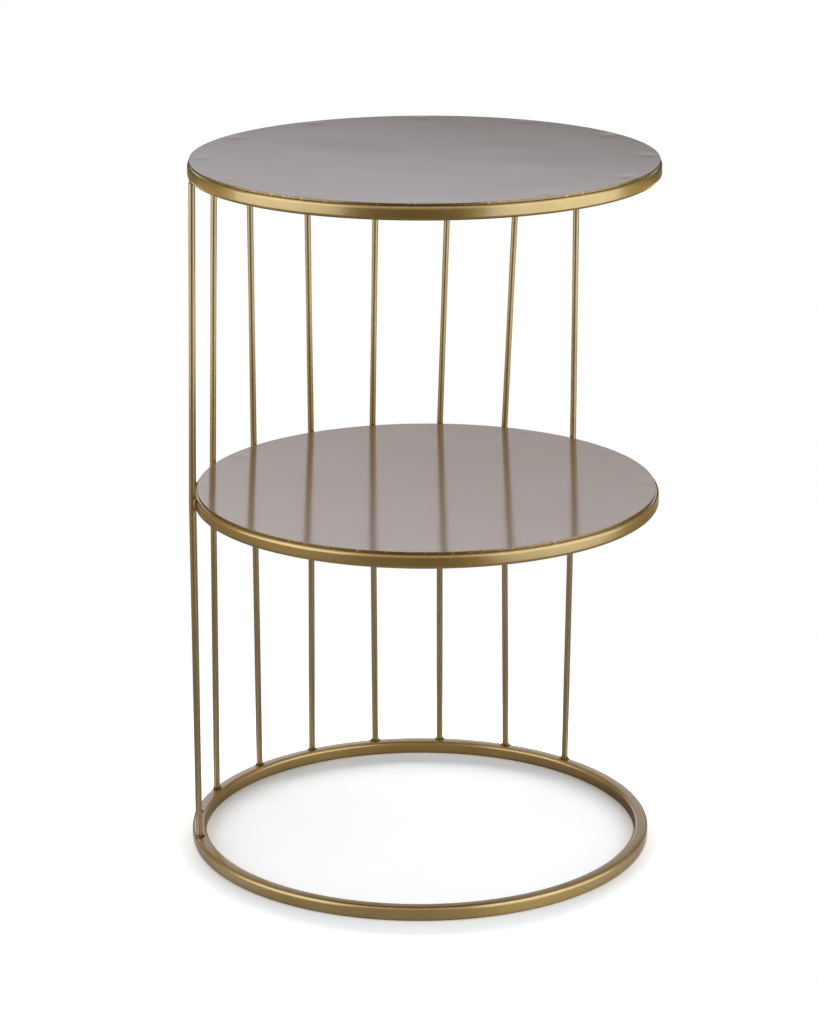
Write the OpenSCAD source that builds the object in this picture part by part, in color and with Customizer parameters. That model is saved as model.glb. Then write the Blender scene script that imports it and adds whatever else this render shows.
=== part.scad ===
// Round two-tier side table of welded steel.
// Three bent square-tube rings lie one above the other. Nine thin upright rods at the back join
// them, and two sheet-metal discs lie on the upper rings. The front right side stays open.
// The origin is on the floor, at the centre of the base ring. +Z is up, and the photographed
// side faces -Y.

/* [Heights] */
// Height of the top sheet's upper face above the floor
table_h = 610; // [560:1:660]
// Height of the middle sheet's upper face above the floor
shelf_h = 324; // [270:1:380]

/* [Rings] */
// Outside diameter of the base ring
base_d = 406; // [380:1:430]
// Outside diameter of the middle ring
middle_d = 402.5; // [380:0.5:430]
// Outside diameter of the top ring
shelf_d = 400; // [380:1:430]
// Width and height of the square tube
tube_w = 12; // [10:0.5:16]
// Wall of the tube
tube_wall = 1; // [0.8:0.1:1.5]
// Outside radius of the tube's corners
tube_corner = 3; // [1.8:0.1:4]
// How far the top ring stands to the right of the base ring
top_drift = 5; // [0:0.5:8]
// Direction in which the middle ring stands off the axis, away from the rods
shelf_turn = 312; // [300:1:324]

/* [Sheets] */
// Thickness of the sheet metal
sheet_t = 2; // [1:0.1:3]
// How far the top sheet's rim lies inside the outside of its ring
sheet_inset = 1.5; // [0.8:0.05:7]
// How far the middle sheet's rim lies inside the outside of its ring
shelf_inset = 2.75; // [0.8:0.05:7]
// Radius of the sheet's deburred edges
sheet_edge = 0.3; // [0.1:0.05:0.45]

/* [Rods] */
// Diameter of an upright rod
rod_d = 5.5; // [4:0.1:7]
// Angle from one rod to the next
rod_pitch = 18.3; // [14:0.1:20]
// Angle of the middle rod, from the right-hand side
rod_middle = 120; // [110:1:130]
// How far a rod's foot centre lies inside the outside of the base ring
foot_inset = 3.6; // [3:0.1:7]
// How far a rod's head centre lies inside the outside of the top ring
head_inset = 1.5; // [1:0.1:6]
// How much wider than the rod its bend at the middle ring is
bend_swell = 0.1; // [0.05:0.01:0.15]

/* [Welds] */
// Air left at a welded joint, between a rod or a weld and what it meets
weld_gap = 0.1; // [0.08:0.01:0.2]
// Width and height of the fillet round a rod's foot
foot_weld = 2.2; // [1.5:0.1:3]
// Width and height of the fillet round a rod's head
head_weld = 1.4; // [1:0.1:2]
// Length of the bead on each side of a rod at the middle ring
side_weld_len = 8; // [5:0.5:10]
// Length over which that bead keeps its full width
side_weld_mid = 3; // [2:0.5:4.5]
// Half the width of that bead
side_weld_r = 1.3; // [0.8:0.1:1.8]
// Rim left at the thin edges of a fillet and at the ends of a bead
weld_land = 0.3; // [0.2:0.05:0.5]
// Radius of a tack weld under a sheet
tack_r = 1.2; // [0.8:0.1:1.8]
// Length of a tack weld under a sheet
tack_len = 7; // [4:0.5:12]

/* [Hidden] */

// How far each rod stands off its even place on each ring, in degrees, as placed by hand
foot_off = [-1, 0.5, 2, 0.1, 0.5, 0.4, 1, 0.7, 0.2];
side_off = [-3, 0.5, 1.5, 1.3, 0.9, 2.1, 2.8, 4, 2];
head_off = [-1, -0.5, 0, 2.5, 1.8, 0.6, -0.3, -0.6, 0];
rod_count = len(foot_off);
tack_count = 12;

gold = [0.72, 0.58, 0.36];
taupe = [0.63, 0.59, 0.56];
ring_facets = 240;
rod_facets = 48;

base_r = base_d / 2;
middle_r = middle_d / 2;
shelf_r = shelf_d / 2;
rod_r = rod_d / 2;
top_ring_z = table_h - sheet_t - tube_w;
shelf_ring_z = shelf_h - sheet_t - tube_w;
side_z = shelf_ring_z + tube_w / 2;
foot_circle = base_r - foot_inset;
head_circle = shelf_r - head_inset;
bar_gap = bend_swell * 2;

// The axis leans from the base ring's centre to the top ring's
function axis_at(z) = [top_drift * z / table_h, 0];
function polar(centre, r, a) = [centre[0] + r * cos(a), centre[1] + r * sin(a)];

// The middle ring is pushed off the axis, so that the middle rod runs straight past its outside
straight_r = foot_circle + (head_circle - foot_circle) * (side_z - tube_w) / (top_ring_z - tube_w);
side_circle = middle_r + rod_r + weld_gap;
base_centre = axis_at(0);
shelf_centre = polar(axis_at(shelf_h), side_circle - straight_r, shelf_turn);
top_centre = axis_at(table_h);

function even(i) = rod_middle + rod_pitch * ((rod_count - 1) / 2 - i);
function foot(i) = concat(polar(base_centre, foot_circle, even(i) + foot_off[i]), tube_w + weld_gap);
function side(i) = concat(polar(shelf_centre, side_circle, even(i) + side_off[i]), side_z);
function head(i) = concat(polar(top_centre, head_circle, even(i) + head_off[i]), top_ring_z - weld_gap);
function towards(p, q, d) = p + d * (q - p) / norm(q - p);

module rounded_rect(w, h, r) {
    translate([r, 0]) square([w - 2 * r, h]);
    translate([0, r]) square([w, h - 2 * r]);
    for (x = [r, w - r], y = [r, h - r]) translate([x, y]) circle(r, $fn = rod_facets);
}

// A hollow square tube bent into a ring, from z up
module tube_ring(outer_r, z) {
    inner_w = tube_w - 2 * tube_wall;
    color(gold) translate([0, 0, z]) rotate_extrude($fn = ring_facets)
        translate([outer_r - tube_w, 0]) difference() {
            rounded_rect(tube_w, tube_w, tube_corner);
            translate([tube_wall, tube_wall])
                rounded_rect(inner_w, inner_w, tube_corner - tube_wall);
        }
}

module base_ring() {
    translate(base_centre) tube_ring(base_r, 0);
}

module middle_ring() {
    translate(shelf_centre) tube_ring(middle_r, shelf_ring_z);
}

module top_ring() {
    translate(top_centre) tube_ring(shelf_r, top_ring_z);
}

// A disc of sheet metal that lies on a ring, from z up
module sheet_disc(sheet_r, z) {
    color(taupe) translate([0, 0, z]) rotate_extrude($fn = ring_facets) {
        square([sheet_r - sheet_edge, sheet_t]);
        translate([0, sheet_edge]) square([sheet_r, sheet_t - 2 * sheet_edge]);
        for (y = [sheet_edge, sheet_t - sheet_edge])
            translate([sheet_r - sheet_edge, y]) circle(sheet_edge, $fn = rod_facets);
    }
}

module middle_sheet() {
    translate(shelf_centre) sheet_disc(middle_r - shelf_inset, shelf_h - sheet_t);
}

module top_sheet() {
    translate(top_centre) sheet_disc(shelf_r - sheet_inset, table_h - sheet_t);
}

module bar(p, q) {
    v = q - p;
    translate(p) rotate([0, acos(v[2] / norm(v)), atan2(v[1], v[0])])
        cylinder(h = norm(v), r = rod_r, $fn = rod_facets);
}

// One rod: straight from the base ring to the middle ring's outside, and straight on from there
// to the top ring, with square-cut ends
module rod(i) {
    color(gold) {
        bar(foot(i), towards(side(i), foot(i), bar_gap));
        bar(towards(side(i), head(i), bar_gap), head(i));
        translate(side(i)) sphere(r = rod_r + bend_swell / 2, $fn = rod_facets);
    }
}

// A hollow-faced fillet that stands on z = 0 round a rod
module fillet(leg) {
    rotate_extrude($fn = rod_facets) translate([rod_r + weld_gap, 0]) difference() {
        square(leg + weld_land);
        translate([leg + weld_land, leg + weld_land]) circle(leg, $fn = rod_facets);
    }
}

// Fillets round the rods' feet, cut flush with the outside of the base ring
module base_welds() {
    color(gold) intersection() {
        union() for (i = [0 : rod_count - 1]) translate(foot(i)) fillet(foot_weld);
        translate(base_centre) cylinder(h = shelf_h, r = base_r, $fn = ring_facets);
    }
}

// Fillets round the rods' heads, cut flush with the outside of the top ring
module top_welds() {
    color(gold) intersection() {
        union() for (i = [0 : rod_count - 1]) translate(head(i)) mirror([0, 0, 1]) fillet(head_weld);
        translate(top_centre) cylinder(h = table_h, r = shelf_r, $fn = ring_facets);
    }
}

// An upright weld bead that tapers to both ends
module bead() {
    rotate_extrude($fn = rod_facets) polygon([
        [0, -side_weld_len / 2], [weld_land, -side_weld_len / 2],
        [side_weld_r, -side_weld_mid / 2], [side_weld_r, side_weld_mid / 2],
        [weld_land, side_weld_len / 2], [0, side_weld_len / 2]
    ]);
}

// Two upright beads in the corners between each rod and the outside of the middle ring
module middle_welds() {
    bead_circle = middle_r + weld_gap + side_weld_r;
    reach = rod_r + weld_gap + side_weld_r;
    turn = acos((side_circle ^ 2 + bead_circle ^ 2 - reach ^ 2) / (2 * side_circle * bead_circle));
    color(gold) for (i = [0 : rod_count - 1], way = [-1, 1])
        translate(concat(polar(shelf_centre, bead_circle, even(i) + side_off[i] + way * turn), side_z))
            bead();
}

// Short beads in the corner between a ring's inside and the underside of its sheet
module tack_ring(ring_r) {
    bead_r = ring_r - tube_w - weld_gap - tack_r;
    sweep = tack_len / bead_r * 180 / PI;
    color(gold) for (i = [0 : tack_count - 1])
        rotate(i * 360 / tack_count) rotate_extrude(angle = sweep, $fn = ring_facets)
            translate([bead_r, -tack_r - weld_gap]) circle(tack_r, $fn = rod_facets);
}

module middle_sheet_tacks() {
    translate(concat(shelf_centre, shelf_h - sheet_t)) tack_ring(middle_r);
}

module top_sheet_tacks() {
    translate(concat(top_centre, table_h - sheet_t)) tack_ring(shelf_r);
}

base_ring();
middle_ring();
top_ring();
middle_sheet();
top_sheet();
for (i = [0 : rod_count - 1])
    rod(i);
base_welds();
middle_welds();
top_welds();
middle_sheet_tacks();
top_sheet_tacks();
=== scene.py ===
# Round side table: the looks of its tube rings, rods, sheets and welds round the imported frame.
# Everything is in metres, in the frame's own axes: +Z up, the photographed side towards -Y.
import math

import bmesh
import bpy
from mathutils import Matrix, Vector


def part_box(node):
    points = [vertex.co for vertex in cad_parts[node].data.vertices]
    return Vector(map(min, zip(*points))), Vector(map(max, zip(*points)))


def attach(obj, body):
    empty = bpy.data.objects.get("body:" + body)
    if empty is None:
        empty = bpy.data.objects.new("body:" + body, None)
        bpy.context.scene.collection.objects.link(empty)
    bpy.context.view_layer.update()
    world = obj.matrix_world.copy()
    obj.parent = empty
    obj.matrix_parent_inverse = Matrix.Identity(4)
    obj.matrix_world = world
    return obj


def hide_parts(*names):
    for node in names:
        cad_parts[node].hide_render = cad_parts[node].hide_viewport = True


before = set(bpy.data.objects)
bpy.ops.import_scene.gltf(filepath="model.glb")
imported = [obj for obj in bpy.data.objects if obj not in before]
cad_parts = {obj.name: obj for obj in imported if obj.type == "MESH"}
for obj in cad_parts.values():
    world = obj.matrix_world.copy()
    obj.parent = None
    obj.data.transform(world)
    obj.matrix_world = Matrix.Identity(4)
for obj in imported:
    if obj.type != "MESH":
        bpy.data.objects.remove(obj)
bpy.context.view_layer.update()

MM = 0.001

# Tube, sheet and rod
TUBE = 12 * MM
TUBE_WALL = 1 * MM
TUBE_CORNER = 3 * MM
SHEET_EDGE = 0.3 * MM
ROD_RADIUS = 2.75 * MM
RODS = 9

# How far a rod's bend at the middle ring reaches to either side
BEND_REACH = 6 * MM

# How finely round shapes are divided
RING_STEPS = 288
CORNER_STEPS = 6
EDGE_STEPS = 4
BEND_STEPS = 6
ROD_SIDES = 32
COLLAR_SIDES = 24

# Sizes of the welds
FOOT_WELD = 2.4 * MM
HEAD_WELD = 1.6 * MM
SIDE_WELD = 1.35 * MM
SIDE_WELD_LONG = 4.2 * MM
TACK = 1.2 * MM
TACK_LONG = 4 * MM
TACKS = 12

# How wide a collar of weld stays at its thin edge, and how much its foot is rounded
COLLAR_LIP = 0.15 * MM
COLLAR_FOOT = 0.25 * MM

# How narrow a collar is drawn at three levels between its foot and its lip
COLLAR_WAISTS = ((0.25, 0.86), (0.5, 0.8), (0.75, 0.86))

# Rings of faces across a sheet, from its rim inwards, in millimetres
SHEET_STEPS = [2] * 3 + [3] * 8 + [5] * 6 + [9] * 13

# How a sheet wanders up and down: not at all along its rim, and fully from some way inside it
FLAT_RIM = 10 * MM
UNEVEN_AFTER = 90 * MM
UNEVEN_ACROSS = 0.11
UNEVEN_HEIGHT = 0.13 * MM
UNEVEN_MIDDLE = 0.9

# How a sheet is drawn in at its tack welds
DENT_RADIUS = 7 * MM
DENT_REACH = 3
DENT_DEPTH = 0.05 * MM

# How the middle sheet is hollow, as a slope per metre, and how steeply it falls to the right
MIDDLE_HOLLOW = 0.144
MIDDLE_LEAN = 0.005

# The camera, found from the outlines of the three rings in the photograph
CAMERA_AT = Vector((-8.55, -2768.6, 1130.6)) * MM
CAMERA_PITCH = 0.2924
CAMERA_ROLL = -0.003
CAMERA_LENS = 116.85
SENSOR_LONG_SIDE = 36


# Working with meshes by operators

def only(piece):
    """Makes piece the one selected and active object."""
    bpy.ops.object.select_all(action="DESELECT")
    piece.select_set(True)
    bpy.context.view_layer.objects.active = piece


def edit(piece):
    """Opens piece for editing with nothing in it selected."""
    only(piece)
    bpy.ops.object.mode_set(mode="EDIT")
    bpy.ops.mesh.select_all(action="DESELECT")


def close():
    bpy.ops.object.mode_set(mode="OBJECT")


def pick(piece, mode, test):
    """Selects the vertices, edges or faces of the piece being edited that pass the test."""
    bpy.ops.mesh.select_mode(type=mode)
    bpy.ops.mesh.select_all(action="DESELECT")
    mesh = bmesh.from_edit_mesh(piece.data)
    parts = {"VERT": mesh.verts, "EDGE": mesh.edges, "FACE": mesh.faces}[mode]
    for part in parts:
        if test(part):
            part.select_set(True)
    mesh.select_flush_mode()
    bmesh.update_edit_mesh(piece.data)


def named(name):
    """The object that an operator has just added, named, with its place put into its mesh."""
    piece = bpy.context.object
    piece.name = name
    piece.data.name = name
    bpy.ops.object.transform_apply(location=True, rotation=True, scale=True)
    return piece


def tidy_faces(piece):
    """Merges doubled vertices and turns every face outwards."""
    edit(piece)
    bpy.ops.mesh.select_all(action="SELECT")
    bpy.ops.mesh.remove_doubles(threshold=0.01 * MM)
    bpy.ops.mesh.normals_make_consistent(inside=False)
    close()


def finish_with(piece, kind, **settings):
    """Adds one modifier to piece, with its settings, and applies it."""
    only(piece)
    modifier = piece.modifiers.new(kind.lower(), kind)
    for key, value in settings.items():
        setattr(modifier, key, value)
    bpy.ops.object.modifier_apply(modifier=modifier.name)


def smooth(piece):
    only(piece)
    bpy.ops.object.shade_smooth()
    finish_with(piece, "WEIGHTED_NORMAL", weight=60, keep_sharp=True)


def joined(pieces, name):
    bpy.ops.object.select_all(action="DESELECT")
    for piece in pieces:
        piece.select_set(True)
    bpy.context.view_layer.objects.active = pieces[0]
    bpy.ops.object.join()
    pieces[0].name = name
    pieces[0].data.name = name
    return pieces[0]


def copy_to(piece, name, place, turn, stretch):
    """A copy of piece with a mesh of its own, stretched, turned about Z and moved, in that order."""
    made = piece.copy()
    made.data = piece.data.copy()
    made.name = name
    bpy.context.scene.collection.objects.link(made)
    scale = Matrix.Diagonal((*stretch, 1))
    made.data.transform(Matrix.Translation(place) @ Matrix.Rotation(turn, 4, "Z") @ scale)
    return made


def clouds(name, size):
    texture = bpy.data.textures.new(name, "CLOUDS")
    texture.noise_scale = size
    texture.noise_depth = 1
    return texture


def stands_for(piece, node, material):
    """piece takes the CAD node's place and body, and wears the material."""
    piece.data.materials.clear()
    piece.data.materials.append(material)
    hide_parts(node)
    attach(piece, "root")


# Places read from the frame

class Round:
    """The plan and heights of a ring or a sheet of the frame."""

    def __init__(self, node):
        low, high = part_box(node)
        self.centre = Vector(((low.x + high.x) / 2, (low.y + high.y) / 2, 0))
        self.radius = (high.x - low.x) / 2
        self.low = low.z
        self.high = high.z


def slice_centre(node, z, reach):
    """The middle of what a node holds within reach of the height z."""
    near = [v.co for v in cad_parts[node].data.vertices if abs(v.co.z - z) < reach]
    xs = [co.x for co in near]
    ys = [co.y for co in near]
    return Vector(((min(xs) + max(xs)) / 2, (min(ys) + max(ys)) / 2, z))


BASE, MIDDLE, TOP = Round("base_ring"), Round("middle_ring"), Round("top_ring")
SIDE_HEIGHT = (MIDDLE.low + MIDDLE.high) / 2

# How thick a slice of a rod is looked at round its ends and round its bend
END_SLICE = 0.5 * MM
BEND_SLICE = 1.5 * MM


class Rod:
    """The three points that a rod runs through: foot, side of the middle ring, and head."""

    def __init__(self, number):
        self.node = f"rod_{number}"
        low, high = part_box(self.node)
        self.foot = slice_centre(self.node, low.z, END_SLICE)
        self.side = slice_centre(self.node, SIDE_HEIGHT, BEND_SLICE)
        self.head = slice_centre(self.node, high.z, END_SLICE)
        self.foot.z = BASE.high
        self.head.z = TOP.low


rods = [Rod(i + 1) for i in range(RODS)]


# Shader building

class Value:
    """An output socket whose sums and products add Math nodes to its tree."""

    def __init__(self, tree, socket):
        self.tree = tree
        self.socket = socket

    def math(self, operation, *terms):
        node = self.tree.nodes.new("ShaderNodeMath")
        node.operation = operation
        for entry, item in zip(node.inputs, terms):
            if isinstance(item, Value):
                self.tree.links.new(item.socket, entry)
            else:
                entry.default_value = item
        return Value(self.tree, node.outputs[0])

    def __add__(self, other):
        return self.math("ADD", self, other)

    def __sub__(self, other):
        return self.math("SUBTRACT", self, other)

    def __rsub__(self, other):
        return self.math("SUBTRACT", other, self)

    def __mul__(self, other):
        return self.math("MULTIPLY", self, other)

    def __pow__(self, other):
        return self.math("POWER", self, other)

    __radd__ = __add__
    __rmul__ = __mul__

    def size(self):
        return self.math("ABSOLUTE", self)


class Tree:
    """A node tree of a material or of the world."""

    def __init__(self, owner):
        owner.use_nodes = True
        self.tree = owner.node_tree
        self.tree.nodes.clear()

    def node(self, kind, settings=None, inputs=None):
        """Adds a node, sets its settings and then the values or links of its sockets."""
        made = self.tree.nodes.new("ShaderNode" + kind)
        for key, value in (settings or {}).items():
            if key == "stops":
                self.set_stops(made.color_ramp, value)
            else:
                setattr(made, key, value)
        for key, value in (inputs or {}).items():
            if isinstance(value, Value):
                self.tree.links.new(value.socket, made.inputs[key])
            else:
                made.inputs[key].default_value = value
        return made

    @staticmethod
    def set_stops(ramp, stops):
        while len(ramp.elements) < len(stops):
            ramp.elements.new(1)
        for element, (place, colour) in zip(ramp.elements, stops):
            element.position = place
            element.color = colour

    def out(self, kind, settings=None, inputs=None, output=0):
        return Value(self.tree, self.node(kind, settings, inputs).outputs[output])

    def place(self):
        """Object coordinates, in metres."""
        return self.out("TexCoord", output="Object")

    def axes(self, vector):
        """The X, Y and Z of a vector."""
        node = self.node("SeparateXYZ", inputs={"Vector": vector})
        return [Value(self.tree, node.outputs[axis]) for axis in "XYZ"]

    def noise(self, place, scale, detail, roughness=0.5):
        """Noise from 0 to 1, mostly near a half."""
        return self.out("TexNoise", inputs={
            "Vector": place, "Scale": scale, "Detail": detail, "Roughness": roughness})

    def step(self, value, start, end):
        """0 below start and 1 above end, with a smooth rise between."""
        return self.out("MapRange", {"interpolation_type": "SMOOTHSTEP"}, {
            "Value": value, "From Min": start, "From Max": end, "To Min": 0.0, "To Max": 1.0})

    def mix(self, share, first, second, blend="MIX"):
        """Two colours mixed by a share."""
        node = self.node("Mix", {"data_type": "RGBA", "blend_type": blend})
        for index, item in ((0, share), (6, first), (7, second)):
            if isinstance(item, Value):
                self.tree.links.new(item.socket, node.inputs[index])
            else:
                node.inputs[index].default_value = item
        return Value(self.tree, node.outputs[2])

    def bump(self, height, distance, strength=1.0, normal=None):
        inputs = {"Height": height, "Distance": distance, "Strength": strength}
        if normal:
            inputs["Normal"] = normal
        return self.out("Bump", inputs=inputs)

    def end_with(self, kind, shader):
        """Links the finished shader to the tree's output node."""
        output = self.node(kind)
        self.tree.links.new(shader.socket, output.inputs["Surface"])


def colour(red, green, blue):
    """A linear colour from the 0 to 255 values that a screen shows."""
    def linear(value):
        value /= 255
        return value / 12.92 if value <= 0.04045 else ((value + 0.055) / 1.055) ** 2.4
    return (linear(red), linear(green), linear(blue), 1)


# Finishes

GOLD = colour(209, 180, 115)
GOLD_DEEP = colour(198, 167, 101)
ROD_GOLD = colour(196, 172, 121)
ROD_GOLD_DEEP = colour(184, 159, 108)
GOLD_BARE = colour(232, 214, 166)
# Painted shade: the very dark tint of the welds at the rods' feet, standing in for the shade in the
# crease where each rod meets the base ring
GOLD_PAINTED_SHADE = colour(92, 70, 34)
WELD_PALE = colour(150, 122, 70)
TAUPE = colour(148, 117, 66)
TAUPE_DEEP = colour(143, 113, 63)
RIM_DULL = colour(163, 134, 80)

# What is left of a metal's own reflection at a low angle, where its flakes turn dark
FLAKE_FLOP = (0.1, 0.1, 0.1, 1)

# Between these values of a noise a finish passes from its deeper tint to its lighter one
TINT_STEP = (0.38, 0.62)

# The line along a tube's corner where its lacquer is worn: how deep in it lies, and its soft edge
WORN_DEPTH = 0.6 * MM
WORN_EDGE = (0.3 * MM, 1.1 * MM)

# The dull edge of a sheet, as distances inside its rim
RIM_INSIDE = 0.5 * MM
RIM_OUTSIDE = 0.05 * MM

# The band of heat marks over a sheet's tack welds: its distance from the rim, and its soft edge
MARKS_INSIDE = 8 * MM
MARKS_EDGE = (1.5 * MM, 7 * MM)


def distance_from(tree, place, round_shape):
    """How far a point is from the upright axis of a ring or sheet."""
    centred = tree.out("Mapping", {"vector_type": "POINT"}, {
        "Vector": place, "Location": tuple(-round_shape.centre), "Scale": (1, 1, 0)})
    return tree.out("VectorMath", {"operation": "LENGTH"}, {0: centred}, output="Value")


def gold_lacquer(name, ring=None):
    """Satin metallic gold lacquer. Round a ring it wears thin along the tube's outer corners."""
    material = bpy.data.materials.new(name)
    tree = Tree(material)
    place = tree.place()
    drift = tree.noise(place, 14, 3)
    mottle = tree.noise(place, 420, 2)
    peel = tree.noise(place, 900, 2)
    flakes = tree.out(
        "TexVoronoi", {"feature": "F1"}, {"Vector": place, "Scale": 2600.0}, output="Color")
    sparkle = tree.out("SeparateColor", inputs={"Color": flakes}, output=0)
    deep, light = (GOLD_DEEP, GOLD) if ring else (ROD_GOLD_DEEP, ROD_GOLD)
    tint = tree.mix(tree.step(drift * 0.6 + mottle * 0.4, *TINT_STEP), deep, light)
    tint = tree.mix(sparkle ** 3 * 0.16, tint, GOLD_BARE)
    rough = 0.37 + 0.07 * (mottle - 0.5) + 0.05 * (drift - 0.5) - 0.04 * sparkle
    if ring:
        across = distance_from(tree, place, ring)
        height = tree.out("SeparateXYZ", inputs={"Vector": place}, output="Z")
        edge_out = 1 - tree.step((across - (ring.radius - WORN_DEPTH)).size(), *WORN_EDGE)
        edge_top = 1 - tree.step((height - (ring.high - WORN_DEPTH)).size(), *WORN_EDGE)
        specks = tree.step(tree.noise(place, 330, 3, 0.7), 0.52, 0.66)
        worn = edge_out * edge_top * specks
        tint = tree.mix(worn * 0.6, tint, GOLD_BARE)
        rough = rough - 0.12 * worn
        peel = peel + 0.8 * worn
    normal = tree.bump(sparkle, 0.004 * MM, 0.5, tree.bump(peel, 0.03 * MM))
    shader = tree.out("BsdfPrincipled", inputs={
        "Base Color": tint, "Metallic": 1.0, "Roughness": rough, "Normal": normal,
        "Specular Tint": FLAKE_FLOP, "Coat Weight": 1.0, "Coat Roughness": 0.14, "Coat IOR": 1.7})
    tree.end_with("OutputMaterial", shader)
    return material


def weld_lacquer(name, dark, pale):
    """The gold lacquer where it lies thick and dull over lumpy weld metal."""
    material = bpy.data.materials.new(name)
    tree = Tree(material)
    place = tree.place()
    lumps = tree.noise(place, 700, 3, 0.6)
    blotches = tree.noise(place, 260, 2)
    tint = tree.mix(tree.step(blotches * 0.6 + lumps * 0.4, 0.38, 0.6), dark, pale)
    shader = tree.out("BsdfPrincipled", inputs={
        "Base Color": tint, "Metallic": 1.0, "Roughness": 0.42 + 0.2 * (lumps - 0.5),
        "Normal": tree.bump(lumps, 0.25 * MM), "Coat Weight": 0.6, "Coat Roughness": 0.2})
    tree.end_with("OutputMaterial", shader)
    return material


def sheet_lacquer(name, disc):
    """Smooth satin lacquer on sheet steel, with faint heat marks over the tack welds.

    The cut edge is a dull gold with bright specks.
    """
    material = bpy.data.materials.new(name)
    tree = Tree(material)
    place = tree.place()
    drift = tree.noise(place, 9, 3)
    mottle = tree.noise(place, 160, 3, 0.6)
    grain = tree.noise(place, 1500, 2)
    across = distance_from(tree, place, disc)
    rim = tree.step(across, disc.radius - RIM_INSIDE, disc.radius - RIM_OUTSIDE)
    specks = tree.step(tree.noise(place, 420, 3, 0.7), 0.54, 0.66)
    weld_band = 1 - tree.step((across - (disc.radius - MARKS_INSIDE)).size(), *MARKS_EDGE)
    marks = weld_band * tree.step(tree.noise(place, 34, 2), 0.56, 0.68)
    tint = tree.mix(tree.step(drift * 0.5 + mottle * 0.5, *TINT_STEP), TAUPE_DEEP, TAUPE)
    tint = tree.mix(rim * 0.95, tint, RIM_DULL)
    tint = tree.mix(rim * specks * 0.8, tint, GOLD_BARE)
    rough = 0.38 + 0.04 * (mottle - 0.5) + 0.06 * marks
    normal = tree.bump(drift, 0.25 * MM, 0.25, tree.bump(grain, 0.004 * MM, 0.5))
    normal = tree.bump(marks, 0.04 * MM, 0.5, normal)
    shader = tree.out("BsdfPrincipled", inputs={
        "Base Color": tint, "Metallic": 0.6 + 0.4 * rim, "Roughness": rough, "Normal": normal,
        "Specular IOR Level": 0.1, "Specular Tint": FLAKE_FLOP,
        "Coat Weight": 1.0, "Coat Roughness": 0.115, "Coat IOR": 1.5})
    tree.end_with("OutputMaterial", shader)
    return material


# Pieces

def tube_ring(name, ring):
    """A square tube with rounded corners, bent into a ring."""
    at = ring.centre + Vector((ring.radius - TUBE / 2, 0, (ring.low + ring.high) / 2))
    bpy.ops.mesh.primitive_plane_add(size=TUBE, location=at, rotation=(math.pi / 2, 0, 0))
    piece = named(name)
    edit(piece)
    bpy.ops.mesh.select_all(action="SELECT")
    bpy.ops.mesh.bevel(offset=TUBE_CORNER, segments=CORNER_STEPS, affect="VERTICES")
    bpy.ops.mesh.select_all(action="SELECT")
    bpy.ops.mesh.delete(type="ONLY_FACE")
    bpy.ops.mesh.select_all(action="SELECT")
    bpy.ops.mesh.spin(steps=RING_STEPS, angle=math.tau, center=ring.centre, axis=(0, 0, 1))
    close()
    tidy_faces(piece)
    finish_with(piece, "SOLIDIFY", thickness=TUBE_WALL, offset=-1)
    smooth(piece)
    return piece


def turned(radius, angle):
    """The point on a level circle round the origin at an angle."""
    return Vector((math.cos(angle), math.sin(angle), 0)) * radius


def tack_angle(number):
    return math.tau * number / TACKS + math.radians(1)


def let_wander(piece, disc):
    """Makes a sheet slightly uneven, with its rim left flat on its ring."""
    loose = piece.vertex_groups.new(name="loose")
    for v in piece.data.vertices:
        inside = disc.radius - FLAT_RIM - (v.co - disc.centre).xy.length
        share = max(0.0, min(1.0, inside / UNEVEN_AFTER))
        loose.add([v.index], share * share * (3 - 2 * share), "REPLACE")
    finish_with(piece, "DISPLACE", texture=clouds(piece.name + "_uneven", UNEVEN_ACROSS),
                strength=UNEVEN_HEIGHT, mid_level=UNEVEN_MIDDLE, direction="Z",
                texture_coords="LOCAL", vertex_group="loose")


def draw_in(piece, welds):
    """Dents a sheet over its tack welds."""
    for v in piece.data.vertices:
        for weld in welds:
            off = (v.co - weld).xy.length / DENT_RADIUS
            if off < DENT_REACH:
                v.co.z -= DENT_DEPTH * math.exp(-off * off)


def sheet_disc(name, disc, ring):
    """A disc of sheet metal with deburred edges, slightly uneven and drawn in at its tack welds."""
    thick = disc.high - disc.low
    at = disc.centre + Vector((0, 0, (disc.low + disc.high) / 2))
    bpy.ops.mesh.primitive_cylinder_add(
        vertices=RING_STEPS, radius=disc.radius, depth=thick, location=at, end_fill_type="NGON")
    piece = named(name)
    edit(piece)
    pick(piece, "EDGE", lambda e: abs(e.verts[0].co.z - e.verts[1].co.z) < thick / 2)
    bpy.ops.mesh.bevel(offset=SHEET_EDGE, segments=EDGE_STEPS, affect="EDGES")
    for step in SHEET_STEPS:
        pick(piece, "FACE", lambda f: len(f.verts) > 4)
        bpy.ops.mesh.inset(thickness=step * MM, use_individual=True)
    pick(piece, "FACE", lambda f: len(f.verts) > 4)
    bpy.ops.mesh.poke()
    close()
    tidy_faces(piece)
    let_wander(piece, disc)
    draw_in(piece, [disc.centre + turned(ring.radius - TUBE, tack_angle(i)) for i in range(TACKS)])
    smooth(piece)
    return piece


def draw_hollow(piece, disc, slope, lean):
    """Turns the normals of a sheet's upper face as a shallow trough across x would.

    slope is how much steeper the face gets per metre to either side of the disc's centre, and
    lean is how steeply the whole face falls to the right.
    """
    mesh = piece.data
    normals = [Vector(corner.vector) for corner in mesh.corner_normals]
    for face in mesh.polygons:
        if face.normal.z > 0.99:
            for i in face.loop_indices:
                aside = mesh.vertices[mesh.loops[i].vertex_index].co.x - disc.centre.x
                normals[i] = (normals[i] - Vector((aside * slope - lean, 0, 0))).normalized()
    mesh.normals_split_custom_set(normals)


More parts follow.
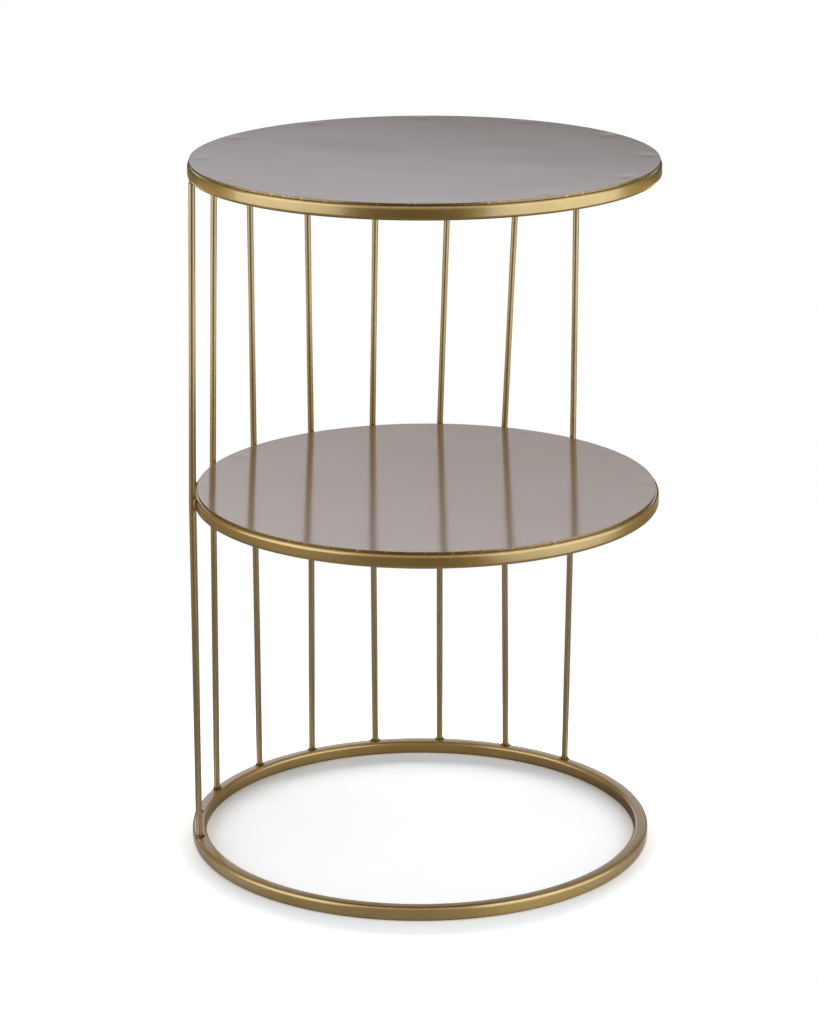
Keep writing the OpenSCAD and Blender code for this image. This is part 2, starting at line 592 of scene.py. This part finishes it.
def bend_points(rod):
    """Points along a rod's centre line: straight to both rings, with a short bend between."""
    before = rod.side + (rod.foot - rod.side).normalized() * BEND_REACH
    after = rod.side + (rod.head - rod.side).normalized() * BEND_REACH
    points = [rod.foot]
    for i in range(BEND_STEPS + 1):
        t = i / BEND_STEPS
        points.append(before * (1 - t) ** 2 + rod.side * 2 * t * (1 - t) + after * t ** 2)
    points.append(rod.head)
    return points


def round_rod(name, rod):
    """A round bar pushed along a rod's centre line."""
    points = bend_points(rod)
    bpy.ops.mesh.primitive_circle_add(
        vertices=ROD_SIDES, radius=ROD_RADIUS, fill_type="NGON", location=points[0])
    piece = named(name)
    edit(piece)
    bpy.ops.mesh.select_all(action="SELECT")
    for start, end in zip(points, points[1:]):
        bpy.ops.mesh.extrude_region_move(TRANSFORM_OT_translate={"value": end - start})
    close()
    tidy_faces(piece)
    smooth(piece)
    return piece


def collar(name, leg):
    """A weld that runs round a rod standing on z = 0: a hollow-faced cone, modelled once."""
    bpy.ops.mesh.primitive_cone_add(
        vertices=COLLAR_SIDES, radius1=ROD_RADIUS + leg, radius2=ROD_RADIUS + COLLAR_LIP,
        depth=leg, location=(0, 0, leg / 2), end_fill_type="NGON")
    piece = named(name)
    near = leg * 0.05
    edit(piece)
    pick(piece, "EDGE", lambda e: abs(e.verts[0].co.z - e.verts[1].co.z) > leg / 2)
    bpy.ops.mesh.subdivide(number_cuts=len(COLLAR_WAISTS))
    for level, waist in COLLAR_WAISTS:
        pick(piece, "VERT", lambda v: abs(v.co.z - leg * level) < near)
        bpy.ops.transform.resize(value=(waist, waist, 1))
    pick(piece, "EDGE", lambda e: max(v.co.z for v in e.verts) < near)
    bpy.ops.mesh.bevel(offset=COLLAR_FOOT, segments=2, affect="EDGES")
    close()
    return piece


def rough_weld(piece, name, lumps, height):
    """Gives welds their uneven surface."""
    tidy_faces(piece)
    finish_with(piece, "SUBSURF", levels=1, render_levels=1)
    finish_with(piece, "DISPLACE", texture=clouds(name + "_lumps", lumps), strength=height,
                mid_level=0.5, direction="NORMAL", texture_coords="LOCAL")
    only(piece)
    bpy.ops.object.shade_smooth()
    return piece


def collars(name, leg, ends, way):
    """Welds round all rods at one ring, each a little unlike the next.

    way is 1 on top of a ring and -1 under it.
    """
    model = collar(name + "_model", leg)
    copies = []
    for i, end in enumerate(ends):
        swell = 1 + 0.12 * math.sin(2.3 * i + leg / MM)
        tall = 1.05 - 0.1 * (i % 2)
        copies.append(copy_to(model, f"{name}_{i + 1}", end, 0.7 * i, (swell, 1, way * tall)))
    bpy.data.objects.remove(model)
    return rough_weld(joined(copies, name), name, 1.6 * MM, 0.5 * MM)


def follow_corner(piece, ring, way):
    """Lets the welds at a tube's outer corner flow over it instead of standing out."""
    flat = ring.radius - TUBE_CORNER
    for v in piece.data.vertices:
        across = (v.co - ring.centre).xy
        over = across.length - flat
        if over > 0:
            sag = TUBE_CORNER - math.sqrt(max(0.0, TUBE_CORNER ** 2 - min(over, TUBE_CORNER) ** 2))
            v.co.z -= way * sag
            pull = min(1.0, (ring.radius + 0.1 * MM) / across.length)
            v.co.x = ring.centre.x + across.x * pull
            v.co.y = ring.centre.y + across.y * pull


def side_beads(name):
    """Two upright beads at each rod, in the corners between it and the middle ring's outside."""
    bpy.ops.mesh.primitive_uv_sphere_add(segments=14, ring_count=12, radius=1)
    model = named(name + "_model")
    edit(model)
    pick(model, "VERT", lambda v: abs(v.co.z) > 0.6)
    bpy.ops.transform.resize(value=(0.8, 0.8, 1.1), center_override=(0, 0, 0))
    close()
    bead_circle = MIDDLE.radius + SIDE_WELD * 0.75
    reach = ROD_RADIUS + SIDE_WELD * 0.75
    copies = []
    for i, rod in enumerate(rods):
        outward = (rod.side - MIDDLE.centre).xy.normalized()
        span = (rod.side - MIDDLE.centre).xy.length
        turn = math.acos((span ** 2 + bead_circle ** 2 - reach ** 2) / (2 * span * bead_circle))
        for way in (-1, 1):
            ray = Vector((outward.x, outward.y, 0))
            ray.rotate(Matrix.Rotation(way * turn, 3, "Z"))
            at = MIDDLE.centre + ray * bead_circle
            at.z = SIDE_HEIGHT + 0.8 * MM * math.sin(1.7 * i + way)
            long = SIDE_WELD_LONG * (1 + 0.15 * math.sin(2.9 * i + 2 * way))
            size = (SIDE_WELD, SIDE_WELD * 1.1, long)
            angle = math.atan2(ray.y, ray.x)
            copies.append(copy_to(model, f"{name}_{i}_{way + 1}", at, angle, size))
    bpy.data.objects.remove(model)
    return rough_weld(joined(copies, name), name, 1.8 * MM, 0.55 * MM)


def tacks(name, ring):
    """Short beads in the corner between a ring's inside and the sheet above it."""
    bpy.ops.mesh.primitive_uv_sphere_add(segments=14, ring_count=10, radius=1)
    model = named(name + "_model")
    edit(model)
    pick(model, "VERT", lambda v: v.co.z > 0.7)
    bpy.ops.transform.resize(value=(1, 1, 0.85))
    close()
    circle = ring.radius - TUBE - TACK * 0.7
    copies = []
    for i in range(TACKS):
        angle = tack_angle(i)
        at = ring.centre + turned(circle, angle)
        at.z = ring.high - TACK * 0.8
        copies.append(copy_to(model, f"{name}_{i}", at, angle, (TACK, TACK_LONG, TACK)))
    bpy.data.objects.remove(model)
    return rough_weld(joined(copies, name), name, 1.8 * MM, 0.4 * MM)


def make_table():
    frame_gold = gold_lacquer("gold_lacquer")
    weld_gold = weld_lacquer("weld_lacquer", WELD_PALE, GOLD)
    # The welds at the rods' feet wear painted shade: a near-black gold for the shade in the crease
    # round each rod's foot
    weld_painted_shade = weld_lacquer("weld_lacquer_painted_shade", GOLD_PAINTED_SHADE, WELD_PALE)
    for name, ring in (("base", BASE), ("middle", MIDDLE), ("top", TOP)):
        tube_gold = gold_lacquer(f"gold_lacquer_{name}_ring", ring)
        stands_for(tube_ring(f"{name}_tube", ring), f"{name}_ring", tube_gold)
    for name, ring in (("middle", MIDDLE), ("top", TOP)):
        disc = Round(f"{name}_sheet")
        lacquer = sheet_lacquer(f"shelf_lacquer_{name}", disc)
        piece = sheet_disc(f"{name}_disc", disc, ring)
        stands_for(piece, f"{name}_sheet", lacquer)
        if name == "middle":
            draw_hollow(piece, disc, MIDDLE_HOLLOW, MIDDLE_LEAN)
    for i, rod in enumerate(rods):
        stands_for(round_rod(f"upright_{i + 1}", rod), rod.node, frame_gold)
    feet = collars("foot_welds", FOOT_WELD, [rod.foot for rod in rods], 1)
    follow_corner(feet, BASE, 1)
    stands_for(feet, "base_welds", weld_painted_shade)
    heads = collars("head_welds", HEAD_WELD, [rod.head for rod in rods], -1)
    follow_corner(heads, TOP, -1)
    stands_for(heads, "top_welds", weld_gold)
    stands_for(side_beads("side_welds"), "middle_welds", weld_gold)
    stands_for(tacks("middle_tacks", MIDDLE), "middle_sheet_tacks", weld_gold)
    stands_for(tacks("top_tacks", TOP), "top_sheet_tacks", weld_gold)


# Floor

WHITE = (1, 1, 1, 1)
FLOOR_SIZE = 60
FLOOR_SHADED = (1.38, 1.338, 1.225, 1)
FLOOR_GLOW_OUTSIDE = 0.3

# How far from the table's axis the floor starts to glow, and where its shadow fades to white
GLOW_FROM = (0.17, 0.25)
SHADOW_FADES = (0.28, 0.44)

# The floor's tones for gloss, inside and outside the base ring, near it and far from it: painted
# light and shade for the lacquer to mirror
INSIDE_LEFT = (0.74, 0.66, 0.5, 1)
INSIDE_MIDDLE = (0.64, 0.51, 0.36, 1)
# Painted shade: the ring's shadow on the floor inside it, on the right
INSIDE_RIGHT = (0.42, 0.36, 0.34, 1)
OUTSIDE_LEFT = (0.69, 0.62, 0.5, 1)
OUTSIDE_MIDDLE = (0.66, 0.59, 0.52, 1)
# Painted light: a bright patch of floor just outside the ring on the right, as lit by the right
# softbox
OUTSIDE_RIGHT = (1.04, 0.95, 0.68, 1)
OUTSIDE_ENDS = (0.98, 0.93, 0.98, 1)
AWAY_FROM_RING = (0.32, 0.3, 0.3, 1)
FAR_FRONT = (0.36, 0.27, 0.14, 1)
FAR_BACK = (0.38, 0.3, 0.16, 1)
# Painted light: the floor far behind the table, as lit by the backdrop
FARTHEST_BACK = (1.2, 0.92, 0.42, 1)

# Where one of those tones passes into the next, in metres to the right
INSIDE_LEFT_TO_MIDDLE = (-0.1, 0)
INSIDE_MIDDLE_TO_RIGHT = (0.03, 0.16)
OUTSIDE_LEFT_TO_MIDDLE = (-0.12, 0)
OUTSIDE_MIDDLE_TO_RIGHT = (0, 0.12)
OUTSIDE_TO_ENDS = (0.12, 0.2)

# The same in metres from the axis, from the ring, and to the back
INSIDE_TO_OUTSIDE = (0.19, 0.205)
RING_AT = 0.2
OFF_THE_RING = (0.04, 0.08)
NEAR_TO_FAR = (0.5, 0.9)
FAR_TO_FARTHEST = (1.2, 2.4)
FRONT_TO_BACK = (-0.6, 0.6)


def white_with_shadow(tree, away):
    """What the camera sees of the floor: the table's shadow near it, and pure white farther off."""
    shaded = tree.out("BsdfDiffuse", inputs={"Color": FLOOR_SHADED})
    glow = tree.out("Emission", inputs={
        "Color": WHITE, "Strength": tree.step(away, *GLOW_FROM) * FLOOR_GLOW_OUTSIDE})
    near = tree.out("AddShader", inputs={0: shaded, 1: glow})
    far = tree.out("Emission", inputs={"Color": WHITE, "Strength": 1.0})
    return tree.out("MixShader", inputs={0: tree.step(away, *SHADOW_FADES), 1: near, 2: far})


def floor_painted_for_gloss(tree, place, away):
    """What the table's lacquer mirrors of the floor: painted light and shade, by place round the base
    ring and behind the table.
    """
    aside, back, _ = tree.axes(place)
    beside = tree.mix(tree.step(aside, *OUTSIDE_LEFT_TO_MIDDLE), OUTSIDE_LEFT, OUTSIDE_MIDDLE)
    beside = tree.mix(tree.step(aside, *OUTSIDE_MIDDLE_TO_RIGHT), beside, OUTSIDE_RIGHT)
    beside = tree.mix(tree.step(aside.size(), *OUTSIDE_TO_ENDS), beside, OUTSIDE_ENDS)
    inside = tree.mix(tree.step(aside, *INSIDE_LEFT_TO_MIDDLE), INSIDE_LEFT, INSIDE_MIDDLE)
    inside = tree.mix(tree.step(aside, *INSIDE_MIDDLE_TO_RIGHT), inside, INSIDE_RIGHT)
    tone = tree.mix(tree.step(away, *INSIDE_TO_OUTSIDE), inside, beside)
    tone = tree.mix(tree.step((away - RING_AT).size(), *OFF_THE_RING), tone, AWAY_FROM_RING)
    behind = tree.mix(tree.step(away, *FAR_TO_FARTHEST), FAR_BACK, FARTHEST_BACK)
    distant = tree.mix(tree.step(back, *FRONT_TO_BACK), FAR_FRONT, behind)
    tone = tree.mix(tree.step(away, *NEAR_TO_FAR), tone, distant)
    return tree.out("BsdfDiffuse", inputs={"Color": tone})


def make_floor():
    """A white floor that keeps the table's shadow near it; to all but the camera it shows painted
    light and shade.
    """
    bpy.ops.object.select_all(action="DESELECT")
    bpy.ops.mesh.primitive_plane_add(size=FLOOR_SIZE)
    floor = named("floor")
    material = bpy.data.materials.new("pale_floor")
    tree = Tree(material)
    place = tree.place()
    seen = tree.out("LightPath", output="Is Camera Ray")
    away = tree.out("VectorMath", {"operation": "LENGTH"}, {0: place}, output="Value")
    pale = floor_painted_for_gloss(tree, place, away)
    white = white_with_shadow(tree, away)
    tree.end_with("OutputMaterial", tree.out("MixShader", inputs={0: seen, 1: pale, 2: white}))
    floor.data.materials.append(material)


# Light and camera

FILL_FOR_SURFACES = (0.18, 0.21, 0.26, 1)
STUDIO_IN_GLOSS = (0.31, 0.26, 0.19, 1)
CEILING_IN_GLOSS = (0.52, 0.5, 0.48, 1)
BACKDROP = (1.62, 1.615, 1.73, 1)
SOFTBOX_COLOUR = (0.98, 1.05, 1.15)
BACK_COLOUR = (0.975, 0.95, 1.005)

# A mirrored direction's part upwards, where the studio passes into its ceiling, and its part to
# the back, where the studio passes into the backdrop
STUDIO_TO_CEILING = (0.6, 0.8)
STUDIO_TO_BACKDROP = (0.72, 0.88)

# Its part upwards where the top's mirror image ends and the middle sheet's begins, and where
# that ends and the base ring's begins
TOP_TO_MIDDLE = (0.22, 0.26)
MIDDLE_TO_BASE = (0.31, 0.34)

# How much the backdrop's bands climb to the right in each of the three
TOP_SLANT = 0.1
MIDDLE_SLANT = 0.11
BASE_SLANT = -0.1

# How much brighter the top mirrors the backdrop, all over and to the right
TOP_GAIN = 0.05
TOP_RISE = 1.6


def grey(value):
    return (value, value, value, 1)


def warm(value):
    return (value, value * 0.965, value * 0.9, 1)


def cool(value):
    return (value, value * 1.02, value * 1.1, 1)


# Bands of the backdrop, by how far up a mirrored direction points
BACKDROP_BANDS = [
    (0.0, grey(0.03)), (0.1795, grey(0.03)), (0.186, grey(0.83)), (0.212, grey(0.8)),
    (0.24, grey(0.5)), (0.262, warm(0.43)), (0.28, warm(0.72)), (0.298, warm(1.36)),
    (0.33, cool(1.0)), (0.355, cool(0.86)), (0.375, cool(0.6)), (0.395, cool(0.17)),
    (0.41, grey(0.04)), (1.0, grey(0.02))]


def make_world():
    """White to the camera, an even fill to surfaces, and to gloss a lit backdrop behind the table."""
    world = bpy.data.worlds.new("studio")
    bpy.context.scene.world = world
    world.cycles.sampling_method = "NONE"
    tree = Tree(world)
    seen = tree.out("LightPath", output="Is Camera Ray")
    gloss = tree.out("LightPath", output="Is Glossy Ray")
    aside, back, up = tree.axes(tree.out("TexCoord", output="Generated"))
    above_top = tree.step(up, *TOP_TO_MIDDLE)
    slant = TOP_SLANT + (MIDDLE_SLANT - TOP_SLANT) * above_top
    slant = slant + (BASE_SLANT - MIDDLE_SLANT) * tree.step(up, *MIDDLE_TO_BASE)
    bands = tree.out("ValToRGB", {"stops": BACKDROP_BANDS}, {"Fac": up - aside * slant})
    lit = tree.mix(1.0, bands, BACKDROP, "MULTIPLY")
    lit = tree.mix(1.0, lit, 1 + (1 - above_top) * (TOP_GAIN + aside * TOP_RISE), "MULTIPLY")
    room = tree.mix(tree.step(up, *STUDIO_TO_CEILING), STUDIO_IN_GLOSS, CEILING_IN_GLOSS)
    mirrored = tree.mix(tree.step(back, *STUDIO_TO_BACKDROP), room, lit)
    others = tree.mix(gloss, FILL_FOR_SURFACES, mirrored)
    shader = tree.out("Background", inputs={"Color": tree.mix(seen, others, WHITE), "Strength": 1.0})
    tree.end_with("OutputWorld", shader)


def softbox(name, azimuth, away, low, high, width, brightness, tint=SOFTBOX_COLOUR):
    """A tall rectangular lamp that faces the table.

    azimuth runs from the camera's side to the right, and brightness is 1 where it shows as white.
    """
    angle = math.radians(azimuth)
    place = Vector((away * math.sin(angle), -away * math.cos(angle), (low + high) / 2))
    lamp = bpy.data.lights.new(name, "AREA")
    lamp.shape = "RECTANGLE"
    lamp.size = width
    lamp.size_y = high - low
    lamp.energy = brightness * math.pi * width * (high - low)
    lamp.color = tint
    holder = bpy.data.objects.new(name, lamp)
    bpy.context.scene.collection.objects.link(holder)
    holder.location = place
    holder.rotation_euler = (Vector((0, 0, place.z)) - place).to_track_quat("-Z", "Y").to_euler()
    holder.visible_camera = False
    return holder


def make_lights():
    """Softboxes on both sides, a little in front of the table, and a low one behind it."""
    softbox("left_box", azimuth=-67.5, away=1.5, low=0.12, high=2.2, width=1.77, brightness=1.12)
    softbox("right_box", azimuth=63.5, away=1.05, low=0.0, high=1.65, width=1.55, brightness=1.05)
    back = softbox("back_box", azimuth=180, away=2.4, low=0.42, high=1.15, width=3.4,
                   brightness=13.0, tint=BACK_COLOUR)
    back.visible_glossy = False


def make_camera():
    camera = bpy.data.cameras.new("camera")
    camera.sensor_fit = "AUTO"
    camera.sensor_width = SENSOR_LONG_SIDE
    camera.lens = CAMERA_LENS
    camera.clip_start = 0.1
    camera.clip_end = 100
    holder = bpy.data.objects.new("camera", camera)
    bpy.context.scene.collection.objects.link(holder)
    holder.location = CAMERA_AT
    tilt = Matrix.Rotation(math.pi / 2 - CAMERA_PITCH, 4, "X")
    holder.rotation_euler = (tilt @ Matrix.Rotation(CAMERA_ROLL, 4, "Z")).to_euler()
    bpy.context.scene.camera = holder


make_camera()
make_table()
make_floor()
make_world()
make_lights()
bpy.context.scene.view_settings.view_transform = "Standard"
